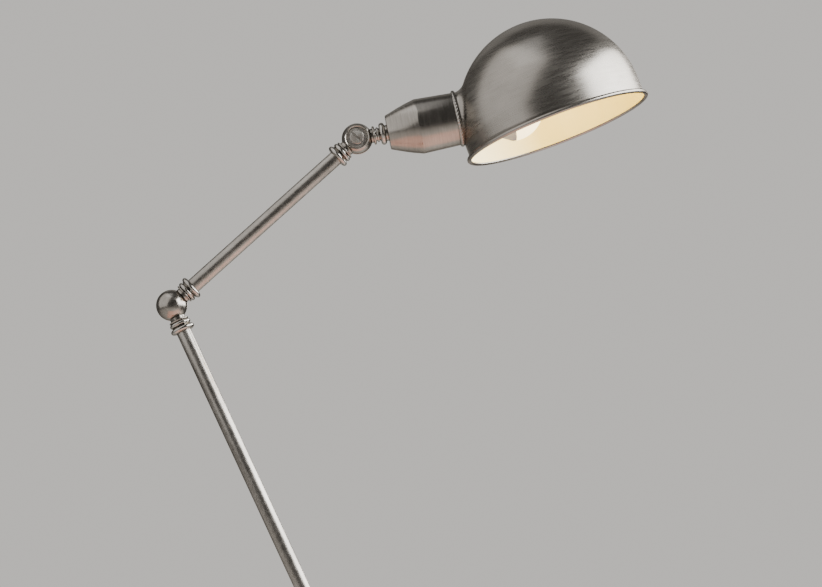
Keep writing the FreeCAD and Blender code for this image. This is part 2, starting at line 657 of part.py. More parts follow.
def make_lampholder(mouth, flange_seat, flange_r):
    """Phenolic lampholder with its screw shell and contacts, and the bulb in it."""
    head = head_angle
    tip = bulb_end - bulb_length
    shell_in = cap_r + holder_shell_gap
    shell_out = shell_in + holder_shell_wall
    base_z = tip - 4.0
    back = tip - holder_back

    # Two-part body: a rear cap that closes over the terminals, and the front with the screw shell
    front_start = base_z - 3.0
    body_end = tip + cap_engagement
    front = turned((3.0, front_start), (holder_r, front_start), (holder_r, flange_seat), (flange_r, flange_seat),
                   (flange_r, mouth - 0.02), (holder_r, mouth - 0.02), (holder_r, body_end - 1), (holder_r - 1, body_end),
                   (shell_out + 0.05, body_end), (shell_out + 0.05, base_z), (3.0, base_z))
    rivet_spot = 8.5
    rivet_r = 1.5
    rivets = []
    for side in (-1, 1):
        hole = rod(rivet_r + 0.02, front_start - 1, base_z + 1)
        hole.translate(Vector(0, side * rivet_spot, 0))
        front = front.cut(hole)
        rivet = turned((0, front_start - 1.5), (rivet_r + 1.2, front_start - 1.5), (rivet_r + 1.2, front_start - 0.02),
                       (rivet_r, front_start - 0.02), (rivet_r, base_z - 0.02), (0, base_z - 0.02))
        rivet.translate(Vector(0, side * rivet_spot, 0))
        rivets.append(rivet)
    save("holder_front", seat(front, wrist, head))
    save("holder_terminals", seat(Part.makeCompound(rivets), wrist, head))

    wall = 2.0
    rear = turned((6.0, back), (holder_r - 3, back), ((holder_r - 0.9, back + 0.9), (holder_r, back + 3)),
                  (holder_r, front_start - 0.02), (holder_r - wall, front_start - 0.02), (holder_r - wall, back + 4),
                  (holder_r - 4.5, back + wall), (6.0, back + wall))
    save("holder_cap", seat(rear, wrist, head))

    shell = turned((4.5, base_z + 0.02), (shell_out, base_z + 0.02), (shell_out, body_end - 1.5),
                   (shell_in, body_end - 1.5), (shell_in, base_z + 0.5), (4.5, base_z + 0.5))
    save("holder_screw_shell", seat(shell, wrist, head))
    contact = rod(2.6, front_start + 0.5, base_z + 0.6).fuse(rod(3.6, base_z + 0.6, tip - 0.05))
    save("holder_centre_contact", seat(contact.removeSplitter(), wrist, head))

    # Bulb: brass cap, solder tip in its insulator, and the blown glass
    cap_end = tip + cap_length
    insulator_z = tip + 3.0
    save("bulb_contact", seat(turned((0, tip), (3.2, tip), ((4.4, tip + 0.4), (4.8, tip + 1.2)), (4.8, tip + 1.4),
                                     (0, tip + 1.4)), wrist, head))
    save("bulb_insulator", seat(turned((0, tip + 1.4), (4.8, tip + 1.4), (9.5, insulator_z), (0, insulator_z)),
                                wrist, head))
    cap = turned((0, insulator_z), (9.5, insulator_z), (cap_r - 0.6, insulator_z + 2.5), (cap_r, insulator_z + 4),
                 (cap_r, cap_end - 0.5), (cap_r - 0.5, cap_end), (cap_r - 1.3, cap_end),
                 (cap_r - 1.3, insulator_z + 1.5), (0, insulator_z + 1.5))
    save("bulb_cap", seat(cap, wrist, head))

    # Housing: a moulded shell, closed by the plate that the emitters sit on, with the diffuser pushed into its rim
    rim = bulb_end - diffuser_length
    throat = cap_r - 1.35
    seat_depth = 3.0
    plate_z = rim - seat_depth
    seat_r = bulb_collar_r - bulb_collar_wall
    neck_end = cap_end + 6.0
    mid_r = 0.52 * bulb_collar_r + 0.48 * bulb_collar_neck_r
    mid_z = (neck_end + rim - 4.0) / 2

    def housing(inset, start, end):
        """Outline of the housing as a solid, from its throat inside the cap to its rim."""
        neck = bulb_collar_neck_r - inset
        wide = bulb_collar_r - inset
        return turned((0, start), (throat - inset, start), (throat - inset, cap_end + 0.05 + inset),
                      (neck, cap_end + 0.05 + inset), (neck, neck_end), ((mid_r - inset, mid_z), (wide, rim - 4.0)),
                      (wide, end), (0, end))

    collar = housing(0, cap_end - 10, rim).cut(housing(bulb_collar_wall, cap_end - 11, plate_z - 1.5))
    collar = collar.cut(rod(seat_r, plate_z, rim + 1))
    save("bulb_collar", seat(collar, wrist, head))

    centre = bulb_end - bulb_r

    def diffuser(inset):
        """Ball and its skirt as a solid."""
        cut_off = rod(2 * bulb_r, rim + inset, bulb_end + 1)
        ball = Part.makeSphere(bulb_r - inset, Vector(0, 0, centre)).common(cut_off)
        skirt_start = plate_z + 0.1 - inset
        return ball.fuse(rod(seat_r - slip_gap - inset, skirt_start, rim + inset))

    glass = diffuser(0).cut(diffuser(bulb_glass_wall)).removeSplitter()
    save("bulb_glass", seat(glass, wrist, head))


# ---- The lamp -----------------------------------------------------------------------------------------------


def swing_from_rest(bend_range, bend):
    """A joint's range measured from the pose the lamp is built in."""
    return bend_range[0] - bend, bend_range[1] - bend


def main():
    make_base()
    make_knuckle("shoulder", shoulder, 180.0, lower_arm_angle,
                 swing_from_rest(shoulder_bend_range, lower_arm_angle),
                 tapped_moves=True, recess_in_front=True, tapped_stem=arm_stem(), tapped_stem_length=stem_end)
    make_arm("lower_arm", shoulder, lower_arm_angle, lower_arm_length)
    make_knuckle("elbow", elbow, upper_arm_angle, lower_arm_angle + 180,
                 swing_from_rest(elbow_bend_range, upper_arm_angle - lower_arm_angle),
                 tapped_moves=False, recess_in_front=False, tapped_stem=arm_stem(), tapped_stem_length=stem_end)
    make_arm("upper_arm", elbow, upper_arm_angle, upper_arm_length)
    make_knuckle("wrist", wrist, upper_arm_angle + 180, head_angle,
                 swing_from_rest(wrist_bend_range, head_angle - upper_arm_angle),
                 tapped_moves=True, recess_in_front=True, tapped_stem=head_stem(), tapped_stem_length=head_stem_end)
    make_head()


main()
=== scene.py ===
# %% [markdown]
# # An adjustable arm floor lamp
#
# The lamp has a heavy round base, an upright, two tube arms and a domed shade on a tapered cup. Three
# ball knuckles let the arms and the head bend, and the head also turns on its own length. The moving
# frame comes ready made from the CAD model, and this lesson adds the looks: turned and spun metal with
# soft edges, an enamelled shade, a lit bulb and brushed antique nickel. Every piece is built in place, in
# metres, in the same frame as the CAD.

import bmesh
import bpy
import json
import math
from mathutils import Matrix, Vector

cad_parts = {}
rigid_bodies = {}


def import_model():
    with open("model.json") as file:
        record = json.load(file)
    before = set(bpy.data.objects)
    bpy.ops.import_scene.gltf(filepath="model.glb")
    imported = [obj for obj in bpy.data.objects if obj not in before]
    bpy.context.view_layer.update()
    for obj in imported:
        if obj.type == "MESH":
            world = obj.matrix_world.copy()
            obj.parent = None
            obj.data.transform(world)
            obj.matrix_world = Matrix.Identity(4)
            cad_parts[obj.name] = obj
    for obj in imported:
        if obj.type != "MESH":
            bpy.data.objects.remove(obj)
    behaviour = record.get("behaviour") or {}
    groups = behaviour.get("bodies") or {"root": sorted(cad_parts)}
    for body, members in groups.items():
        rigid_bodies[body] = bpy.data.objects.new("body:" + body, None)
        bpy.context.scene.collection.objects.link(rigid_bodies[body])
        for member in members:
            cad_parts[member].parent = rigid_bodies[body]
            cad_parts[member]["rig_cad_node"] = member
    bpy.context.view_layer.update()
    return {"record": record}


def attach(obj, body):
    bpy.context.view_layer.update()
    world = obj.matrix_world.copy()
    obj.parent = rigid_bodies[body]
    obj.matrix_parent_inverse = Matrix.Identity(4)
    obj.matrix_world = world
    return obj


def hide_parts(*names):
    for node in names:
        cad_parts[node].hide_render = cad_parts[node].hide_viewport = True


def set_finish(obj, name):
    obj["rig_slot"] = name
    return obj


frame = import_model()

# %% [markdown]
# ## Where things are
#
# Lamp makers work in millimetres, so sizes stay in millimetres here and each mesh is scaled once, when it
# is made. The arms lie in the XZ plane. A stem, an arm or the head is placed by the centre of its knuckle
# and by its angle from straight up, turned towards +X. Building each piece upright at the origin and then
# seating it on such an axis keeps its outline readable, because an outline is just pairs of radius and
# height.

# %% Knuckle centres and axes
MM = 0.001
SHOULDER_HEIGHT = 800
LOWER_LENGTH = 460
UPPER_LENGTH = 264
LOWER_ARM = -25.2
UPPER_ARM = 47.6
HEAD = 78.5


def direction(angle):
    """Unit vector in the lamp's plane, an angle in degrees from straight up towards +X."""
    return Vector((math.sin(math.radians(angle)), 0, math.cos(math.radians(angle))))


def seat(centre, angle):
    """Matrix that takes a piece built along +Z at the origin to a knuckle's centre and a stem's angle."""
    return Matrix.Translation(centre) @ Matrix.Rotation(math.radians(angle), 4, "Y")


shoulder = Vector((0, 0, SHOULDER_HEIGHT))
elbow = shoulder + direction(LOWER_ARM) * LOWER_LENGTH
wrist = elbow + direction(UPPER_ARM) * UPPER_LENGTH
print("elbow", [round(v, 1) for v in elbow], "wrist", [round(v, 1) for v in wrist])

# %% [markdown]
# ## Turning a piece on the lathe
#
# Almost every part of this lamp is turned or spun, so one helper does most of the work: it takes an
# outline and spins it. Real turned edges are never sharp. Each corner of an outline may therefore carry a
# rounding radius, and the helper swaps that corner for a short arc, which is what catches a highlight.
# The mesh also gets a UV map that holds the turn round the axis and the distance along the outline in
# centimetres. The brushing marks of the metal follow those two directions later, as they follow the tool
# on a real lathe.

# %% The lathe
def rounded(outline, steps=6):
    """Outline of (r, z) or (r, z, rounding) corners, with each rounded corner swapped for an arc."""
    points = []
    count = len(outline)
    for i, corner in enumerate(outline):
        here = Vector(corner[:2])
        if len(corner) == 2:
            points.append(here)
            continue
        before = (Vector(outline[i - 1][:2]) - here).normalized()
        after = (Vector(outline[(i + 1) % count][:2]) - here).normalized()
        half = before.angle(after) / 2
        reach = corner[2] / math.tan(half)
        middle = here + (before + after).normalized() * (corner[2] / math.sin(half))
        start = here + before * reach - middle
        swing = start.angle_signed(here + after * reach - middle)
        for k in range(steps + 1):
            turn = -swing * k / steps
            c, s = math.cos(turn), math.sin(turn)
            points.append(middle + Vector((start.x * c - start.y * s, start.x * s + start.y * c)))
    return points


def arc(centre_r, centre_z, radius, start, end, steps=24):
    """Points of an arc, by its centre, radius and two angles in degrees; 0 points outwards and 90 up."""
    angles = [math.radians(start + (end - start) * i / steps) for i in range(steps + 1)]
    return [(centre_r + radius * math.cos(a), centre_z + radius * math.sin(a)) for a in angles]


def bow(a, b, c, steps=16):
    """Points of the arc that runs from a through b to c, without a itself."""
    a, b, c = Vector(a), Vector(b), Vector(c)
    d = 2 * ((b - a).x * (c - a).y - (b - a).y * (c - a).x)
    bb, cc = (b - a).length_squared, (c - a).length_squared
    middle = a + Vector((((c - a).y * bb - (b - a).y * cc) / d, ((b - a).x * cc - (c - a).x * bb) / d))
    start = a - middle
    half = -start.angle_signed(b - middle), -(b - middle).angle_signed(c - middle)
    turns = [sum(half) * i / steps for i in range(1, steps + 1)]
    return [(middle.x + start.x * math.cos(t) - start.y * math.sin(t),
             middle.y + start.x * math.sin(t) + start.y * math.cos(t)) for t in turns]


def spin(bm, outline, steps=96, open_ends=False, mark=0):
    """Adds the spun outline to a mesh about +Z, in millimetres, with the turn and the run along it as UVs."""
    uv = bm.loops.layers.uv.verify()
    rows, runs, run = [], [], 0.0
    for i, p in enumerate(outline):
        run += (Vector(p) - Vector(outline[i - 1])).length if i else 0.0
        runs.append(run)
        turns = [2 * math.pi * k / steps for k in range(1 if abs(p[0]) < 1e-6 else steps)]
        rows.append([bm.verts.new((p[0] * math.cos(t), p[0] * math.sin(t), p[1])) for t in turns])
    last = len(rows) - 1 if open_ends else len(rows)
    for i in range(last):
        low, high = rows[i], rows[(i + 1) % len(rows)]
        if len(low) == 1 and len(high) == 1:
            continue
        v0, v1 = runs[i] / 10, (runs[i + 1] if i + 1 < len(runs) else runs[i] + 1) / 10
        for k in range(steps):
            m = (k + 1) % steps
            corners = [(low[k % len(low)], k, v0), (low[m % len(low)], k + 1, v0),
                       (high[m % len(high)], k + 1, v1), (high[k % len(high)], k, v1)]
            if len(low) == 1:
                corners = [corners[0], corners[2], corners[3]]
            elif len(high) == 1:
                corners = corners[:3]
            face = bm.faces.new([c[0] for c in corners])
            face.material_index = mark
            face.smooth = True
            for loop, c in zip(face.loops, corners):
                loop[uv].uv = (c[1] / steps, c[2])
    return [v for row in rows for v in row]


def finish_piece(name, bm, matrix, body, slot, replaced, sharp=35):
    """Turns a mesh in millimetres into a seated, shaded piece that rides on its CAD body."""
    bmesh.ops.recalc_face_normals(bm, faces=bm.faces)
    mesh = bpy.data.meshes.new(name)
    bm.to_mesh(mesh)
    bm.free()
    mesh.transform(Matrix.Scale(MM, 4) @ matrix)
    mesh.set_sharp_from_angle(angle=math.radians(sharp))
    piece = bpy.data.objects.new(name, mesh)
    bpy.context.scene.collection.objects.link(piece)
    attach(piece, body)
    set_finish(piece, slot)
    if replaced:
        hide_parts(*replaced)
    print(f"{name}: {len(mesh.polygons)} faces")
    return piece


def turn_piece(name, outline, matrix, body, slot, replaced=(), steps=96):
    """A whole piece from one closed outline."""
    bm = bmesh.new()
    spin(bm, rounded(outline), steps)
    return finish_piece(name, bm, matrix, body, slot, replaced)


# %% [markdown]
# ## The tubes
#
# The upright and the arms are plain 16 mm tube. A tube could stay as the CAD made it, but a long CAD
# cylinder comes with few sides and a bright reflection shows every one, so each tube is spun again with
# many sides. Rings along its length would cost faces and show nothing, so there are none.

# %% Upright and arm tubes
TUBE_R = 8.0
TUBE_BORE = 6.8
FERRULE_END = 30.6
BOSS_TOP = 37.0
STEM_END = 19.1


def tube(name, z0, z1, matrix, body):
    """A tube between two heights on its own axis."""
    outline = [(TUBE_BORE, z0), (TUBE_R, z0, 0.2), (TUBE_R, z1, 0.2), (TUBE_BORE, z1)]
    return turn_piece(name, outline, matrix, body, "pewter_steel", [name.replace("_look", "")], 96)


upright = Matrix.Identity(4)
tube("upright_tube_look", BOSS_TOP - STEM_END + FERRULE_END, SHOULDER_HEIGHT - FERRULE_END, upright, "stand")
tube("lower_arm_tube_look", FERRULE_END, LOWER_LENGTH - FERRULE_END, seat(shoulder, LOWER_ARM), "lower_arm")
tube("upper_arm_tube_look", FERRULE_END, UPPER_LENGTH - FERRULE_END, seat(elbow, UPPER_ARM), "upper_arm")

# %% [markdown]
# ## Ferrules and lock rings
#
# Each tube ends in a turned ferrule with a swelling flange, and a round-edged lock ring sits between the
# ferrule and the knuckle's stem. Both ends of an arm carry the same pair, so each kind is one piece with
# two turnings, as the CAD has it.

# %% Ferrules and lock rings
LOCK_END = 24.3
ROD_BORE = 5.2


def ferrule_outline():
    """Flange with a soft swell; its spigot runs into the tube and isn't seen."""
    swell = arc(10.6, LOCK_END + 3.5, 2.45, -80, 75, 14)
    start = [(ROD_BORE, LOCK_END), (9.9, LOCK_END), (10.3, LOCK_END + 0.4)]
    return start + swell + [(10.6, FERRULE_END - 0.1), (10.0, FERRULE_END), (ROD_BORE, FERRULE_END)]


def lock_ring_outline():
    """Ring nut with a fully rounded edge."""
    middle = (STEM_END + LOCK_END) / 2
    half = (LOCK_END - STEM_END) / 2 - 0.06
    low, high = middle - half, middle + half
    edge = arc(9.3, middle, 2.2, -80, 80, 16)
    return [(ROD_BORE, low), (8.6, low)] + edge + [(8.6, high), (ROD_BORE, high)]


def ring_pair(name, outline, places, body, replaced):
    """The same turning at each place, as one piece."""
    bm = bmesh.new()
    for matrix in places:
        made = spin(bm, outline, 72)
        bmesh.ops.transform(bm, matrix=matrix, verts=made)
    return finish_piece(name, bm, Matrix.Identity(4), body, "pewter", replaced)


lower_ends = [seat(shoulder, LOWER_ARM), seat(elbow, LOWER_ARM + 180)]
upper_ends = [seat(elbow, UPPER_ARM), seat(wrist, UPPER_ARM + 180)]
foot = Matrix.Translation((0, 0, BOSS_TOP - STEM_END))
for arm, ends in (("lower_arm", lower_ends), ("upper_arm", upper_ends)):
    ring_pair(arm + "_ferrules_look", ferrule_outline(), ends, arm, [arm + "_ferrules"])
    ring_pair(arm + "_lock_rings_look", lock_ring_outline(), ends, arm, [arm + "_lock_rings"])
for name, place in (("upright", seat(shoulder, 180)), ("foot", foot)):
    ring_pair(name + "_ferrule_look", ferrule_outline(), [place], "stand", [name + "_ferrule"])
    ring_pair(name + "_lock_ring_look", lock_ring_outline(), [place], "stand", [name + "_lock_ring"])

# %% [markdown]
# ## Ball knuckles
#
# A knuckle is a ball cut in half. Each half carries one stem, and a slotted screw sunk in a round recess
# clamps the halves together. One half shows the recess, the other is smooth. A half could be cut from a
# sphere with a boolean, but a boolean leaves ragged edges. Spinning the half about the screw's axis gives
# a clean lip and a bright bevel instead. The recess's floor and wall are marked, since nobody polishes
# down there and they get a duller finish. The stem is a second turning whose inner end follows the ball,
# sunk in its own half and just clear of the other.

# %% Half balls
BALL_R = 16.5
HALF_FACE = 0.54
RECESS_R = 11.4
RECESS_FLOOR = 7.2
RECESS_BEVEL = 1.5
SCREW_HOLE_R = 4.0
HEAD_STEM_END = 19.7


def half_outline(recessed):
    """Half ball about its screw axis, with the flat face at the bottom."""
    lip = math.degrees(math.asin(HALF_FACE / BALL_R)) + 1.2
    rise = math.degrees(math.acos((RECESS_R + RECESS_BEVEL) / BALL_R))
    sphere = arc(0, 0, BALL_R, lip, rise if recessed else 90, 28)
    face = [(SCREW_HOLE_R, HALF_FACE), (BALL_R - 0.45, HALF_FACE)]
    if not recessed:
        return [(0, HALF_FACE)] + face[1:] + sphere
    edge = math.sin(math.radians(rise)) * BALL_R
    bevel = [(RECESS_R + 1.38, edge - 0.02), (RECESS_R + 0.14, edge - 0.98), (RECESS_R, edge - 1.1)]
    floor_corner = [(RECESS_R, RECESS_FLOOR + 0.3), (RECESS_R - 0.3, RECESS_FLOOR)]
    return face + sphere + bevel + floor_corner + [(SCREW_HOLE_R, RECESS_FLOOR)]


def arm_stem_outline():
    """Neck and small flange of an arm-side stem; its first corner is the end that meets the ball."""
    flange = arc(9.72, 18.2, 0.88, -90, 90, 10)
    return [(8.2, BALL_R - 1.9), (8.2, 17.1), (8.4, 17.3)] + flange + [(ROD_BORE, STEM_END)]


def knuckle_half(name, centre, stem_angle, side, recessed, stem, body, replaced):
    """One half ball with its stem. side is -1 for the front half and +1 for the rear half."""
    bm = bmesh.new()
    ball = spin(bm, half_outline(recessed), 96)
    for face in bm.faces:
        if recessed and face.calc_center_median().xy.length < RECESS_R + 0.1:
            face.material_index = int(face.calc_center_median().z > RECESS_FLOOR - 0.1)
    bmesh.ops.transform(bm, matrix=Matrix.Rotation(math.radians(-90 * side), 4, "X"), verts=ball)
    made = spin(bm, stem, 72, open_ends=True)
    for v in made[:72]:
        own = v.co.y * side > 0.5
        across = v.co.x ** 2 + v.co.y ** 2
        v.co.z = math.sqrt((BALL_R - 0.8 if own else BALL_R + 0.4) ** 2 - across)
    return finish_piece(name, bm, seat(centre, stem_angle), body, "pewter", replaced)


arm_stem = arm_stem_outline()
head_stem = [(7.6, BALL_R - 1.9), (7.6, 17.0)] + arc(8.7, 18.4, 1.3, -90, 90, 12) + [(ROD_BORE, HEAD_STEM_END)]
knuckle_half("shoulder_front", shoulder, 180, -1, True, arm_stem, "stand", ["shoulder_screw_half"])
knuckle_half("shoulder_rear", shoulder, LOWER_ARM, 1, False, arm_stem, "lower_arm", ["shoulder_tapped_half"])
knuckle_half("elbow_rear", elbow, UPPER_ARM, 1, True, arm_stem, "upper_arm", ["elbow_screw_half"])
knuckle_half("elbow_front", elbow, LOWER_ARM + 180, -1, False, arm_stem, "lower_arm", ["elbow_tapped_half"])
knuckle_half("wrist_front", wrist, UPPER_ARM + 180, -1, True, arm_stem, "upper_arm", ["wrist_screw_half"])
knuckle_half("wrist_rear", wrist, HEAD, 1, False, head_stem, "wrist_swivel", ["wrist_tapped_half"])

# %% [markdown]
# ## Head swivel collar
#
# Between the wrist and the cup sits a turned collar: a thin waist, a small bead, then one large
# round-edged ring. It is one piece of bar on the real lamp, so it is one outline here.

# %% Head collar and washer
COLLAR_START = HEAD_STEM_END
COLLAR_END = 30.6
CUP_START = 33.2
WAIST_R = 6.6
RING_START = COLLAR_START + 4.9


def collar_outline():
    """Waist, bead and large ring, from the wrist's stem to the washer."""
    waist = [(ROD_BORE, COLLAR_START), (WAIST_R, COLLAR_START), (WAIST_R, COLLAR_START + 1.2)]
    bead = arc(6.9, COLLAR_START + 2.6, 1.2, -80, 80, 12)
    groove = [(WAIST_R, COLLAR_START + 4.0), (WAIST_R, RING_START)]
    half = (COLLAR_END - COLLAR_START - 4.9) / 2
    ring = arc(11.9 - half, (RING_START + COLLAR_END) / 2, half, -85, 90, 18)
    return waist + bead + groove + ring + [(ROD_BORE, COLLAR_END)]


head = seat(wrist, HEAD)
turn_piece("head_collar_look", collar_outline(), head, "wrist_swivel", "pewter", ["head_swivel_collar"], 96)
WASHER_END = CUP_START - 0.05
washer = [(ROD_BORE, COLLAR_END), (8.6, COLLAR_END, 0.3), (8.6, WASHER_END, 0.3), (ROD_BORE, WASHER_END)]
turn_piece("head_washer_look", washer, head, "wrist_swivel", "pewter", ["head_swivel_washer"], 72)

# %% [markdown]
# ## The cup
#
# The cup is spun sheet: a cone that opens to a soft shoulder, then a barrel that tapers very slightly to
# the threaded mouth. The shoulder is the one crease that shows, so it gets a larger rounding than the
# other corners.

# %% Cup
MOUTH = 108.6
CUP_SHOULDER_Z = CUP_START + 33.0


def cup_outline():
    """Closed wall of the cup, 1.2 mm thick, open at the mouth and bored at the back."""
    back = CUP_START
    belly = [(23.9, back + 15.2), (26.6, back + 23.2)]
    outside = [(5.3, back), (18.2, back, 0.9)] + belly
    outside += [(29.45, CUP_SHOULDER_Z + 0.6, 6.0), (28.2, MOUTH - 2.2, 0.3)]
    thread = [(27.4, MOUTH - 2.0), (27.4, MOUTH), (26.2, MOUTH), (26.2, MOUTH - 4)]
    inside = [(28.1, CUP_SHOULDER_Z + 2), (25.3, back + 23.5), (17.0, back + 1.2), (5.3, back + 1.2)]
    return outside + thread + inside


turn_piece("cup_look", cup_outline(), head, "head", "pewter", ["lamp_cup"], 160)

# %% [markdown]
# ## The knurled ring
#
# A narrow ring clamps the shade to the cup, and its edge is knurled for grip. A displacement map would
# blur at this size, so the knurls are real: the ring is spun with eight steps to a knurl and its outer
# rows are pushed in along a sine, with a small twist from back to front that gives the rope look.

# %% Shade ring
KNURLS = 48
KNURL_DEPTH = 0.62
KNURL_TWIST = 0.035
RING_R = 30.4
RING_BORE = 28.12
KNURL_ROOT_R = 29.0
RING_BACK = MOUTH - 2.0
RING_FRONT = MOUTH + 2.2


def knurled_ring():
    """Ring with slanted round knurls on its outside."""
    bm = bmesh.new()
    middle, half = (RING_BACK + RING_FRONT) / 2, (RING_FRONT - RING_BACK) / 2
    outline = [(RING_BORE, RING_BACK), (KNURL_ROOT_R, RING_BACK)]
    outline += arc(RING_R - half, middle, half, -70, 70, 12)
    outline += [(KNURL_ROOT_R, RING_FRONT), (RING_BORE, RING_FRONT)]
    spin(bm, outline, KNURLS * 8)
    for v in bm.verts:
        r = math.hypot(v.co.x, v.co.y)
        share = max(0.0, min(1.0, (r - KNURL_ROOT_R) / 0.9))
        turn = math.atan2(v.co.y, v.co.x) + (v.co.z - middle) * KNURL_TWIST
        dip = share * KNURL_DEPTH * (0.5 - 0.5 * math.cos(turn * KNURLS)) ** 1.6
        v.co.x *= (r - dip) / r
        v.co.y *= (r - dip) / r
    return finish_piece("shade_ring_look", bm, head, "head", "pewter", ["shade_ring"], 60)


knurled_ring()

# %% [markdown]
# ## The shade
#
# The shade is a half ball on a short skirt, with a rolled rim at the mouth and a neck on one side where
# the cup joins. Dome, skirt and rim come off the lathe together. The neck is harder: it leaves the dome
# at an angle, with a hollow fillet that is wide at the top and dies away at the bottom. A boolean would
# crease there. So the lathe's faces round the neck are taken out, the neck and its fillet are worked out
# ray by ray as a rolling ball would leave them, and the two meshes are bridged along matching loops. The
# wall is doubled the same way inside, where the enamel is.

# %% Dome, skirt and rolled rim
DOME_R = 98.4
WALL = 1.0
SKIRT = 21.2
DOME_LEAN = 8.8
DOME_AHEAD = 208.0
DOME_BELOW = 12.0
BEAD_R = 2.4
NECK_R = 27.8
FILLET_R = 15.0
RING_LIP = 28.08
NECK_RAYS = 96
dome_tilt = Matrix.Rotation(math.radians(-90 - DOME_LEAN), 4, "Y")
dome_seat = Matrix.Translation((DOME_BELOW, 0, DOME_AHEAD)) @ dome_tilt
to_dome = dome_seat.inverted()


def surface_height(r, phi, radius):
    """Height along the head's axis at which the dome of that radius is met, at r and phi from the axis."""
    start = to_dome @ Vector((r * math.cos(phi), r * math.sin(phi), 0))
    step = to_dome.to_3x3() @ Vector((0, 0, 1))
    near_ball = start.dot(step)
    ball = -near_ball - math.sqrt(max(0.0, near_ball ** 2 - start.length_squared + radius ** 2))
    if (start + step * ball).z >= 0:
        return ball
    flat, flat_step = start.xy, step.xy
    a, b = flat_step.length_squared, flat.dot(flat_step)
    return (-b - math.sqrt(b * b - a * (flat.length_squared - radius ** 2))) / a


def patch_r(phi):
    """How far from the head's axis the lathe's faces are taken out; less at the bottom, near the rim."""
    return 36.0 - 3.5 * math.cos(phi)


def fillet_circle(phi):
    """Radius and centre of the largest fillet between neck and dome that stays clear of the ring's lip."""
    across = DOME_BELOW * math.cos(phi)
    size = math.sqrt(DOME_R ** 2 - (DOME_BELOW * math.sin(phi)) ** 2)
    low, high = 0.1, FILLET_R

    def centre_z(f):
        return DOME_AHEAD - math.sqrt((size + f) ** 2 - (NECK_R + f - across) ** 2)

    for _ in range(40):
        f = (low + high) / 2
        under_lip = RING_FRONT - centre_z(f)
        play = RING_LIP - NECK_R
        fits = under_lip < math.sqrt(max(0.0, 2 * play * f - play ** 2))
        low, high = (f, high) if fits else (low, f)
    return low, Vector((NECK_R + low, centre_z(low))), Vector((across, DOME_AHEAD))


def neck_rows(inset, z0, count=12):
    """Rows of points from the neck's end, over the fillet and out onto the dome, one point to a ray."""
    rays = []
    for k in range(NECK_RAYS):
        phi = 2 * math.pi * k / NECK_RAYS
        fillet, centre, ball = fillet_circle(phi)
        touch = (ball - centre).normalized()
        end = math.atan2(touch.y, -touch.x)
        fillet += inset
        points = [(NECK_R - inset, z0), (NECK_R - inset, (z0 + centre.y) / 2)]
        turns = [end * i / count for i in range(count + 1)]
        points += [(centre.x - fillet * math.cos(t), centre.y + fillet * math.sin(t)) for t in turns]
        reached = points[-1][0]
        for i in range(1, 4):
            r = reached + (patch_r(phi) - reached) * i / 3
            points.append((r, surface_height(r, phi, DOME_R - inset)))
        rays.append([Vector((r * math.cos(phi), r * math.sin(phi), h)) for r, h in points])
    return [list(row) for row in zip(*rays)]


for side, phi in (("top", math.pi), ("side", math.pi / 2), ("bottom", 0.0)):
    print("neck fillet at the", side, round(fillet_circle(phi)[0], 2), "mm")

# %% Open the dome and bridge in the neck
def beside_neck(point, margin):
    """True on the dome's near side, within a margin of the patch that the neck takes."""
    return point.z < 160 and point.xy.length < patch_r(math.atan2(point.y, point.x)) + margin


def dome_skin(bm, outline, inset, z0, mark):
    """One side of the shade's wall: the spun outline with the neck let into it. Returns the neck's end loop."""
    old = set(bm.faces)
    spin(bm, outline, 192, open_ends=True, mark=mark)
    skin = [f for f in bm.faces if f not in old]
    for f in skin:
        for v in f.verts:
            v.tag = True
    bmesh.ops.transform(bm, matrix=dome_seat, verts=list({v for f in skin for v in f.verts}))
    near = [f for f in skin if any(beside_neck(v.co, 1.2) for v in f.verts)]
    bmesh.ops.delete(bm, geom=near, context="FACES")
    skin = [f for f in skin if f.is_valid]
    edges = {e for f in skin for e in f.edges}
    hole = [e for e in edges if e.is_boundary and all(beside_neck(v.co, 7.0) for v in e.verts)]
    rows = [[bm.verts.new(p) for p in row] for row in neck_rows(inset, z0)]
    made = []
    for low, high in zip(rows, rows[1:]):
        for k in range(NECK_RAYS):
            m = (k + 1) % NECK_RAYS
            made.append(bm.faces.new((low[k], low[m], high[m], high[k])))
    ring = [bm.edges.get((rows[-1][k], rows[-1][(k + 1) % NECK_RAYS])) for k in range(NECK_RAYS)]
    made += bmesh.ops.bridge_loops(bm, edges=hole + ring)["faces"]
    for f in made:
        f.material_index = mark
        f.smooth = True
    return rows[0], made


def wrap_uv(bm, faces):
    """Carries the dome's turn and run onto faces that didn't come off the lathe."""
    uv = bm.loops.layers.uv.verify()
    for f in faces:
        middle = to_dome @ f.calc_center_median()
        home = math.atan2(middle.y, middle.x)
        for loop in f.loops:
            p = to_dome @ loop.vert.co
            turn = math.atan2(p.y, p.x)
            turn += 2 * math.pi * round((home - turn) / (2 * math.pi))
            run = SKIRT + (DOME_R * math.atan2(p.z, p.xy.length) if p.z > 0 else p.z)
            loop[uv].uv = (turn / (2 * math.pi), run / 10)


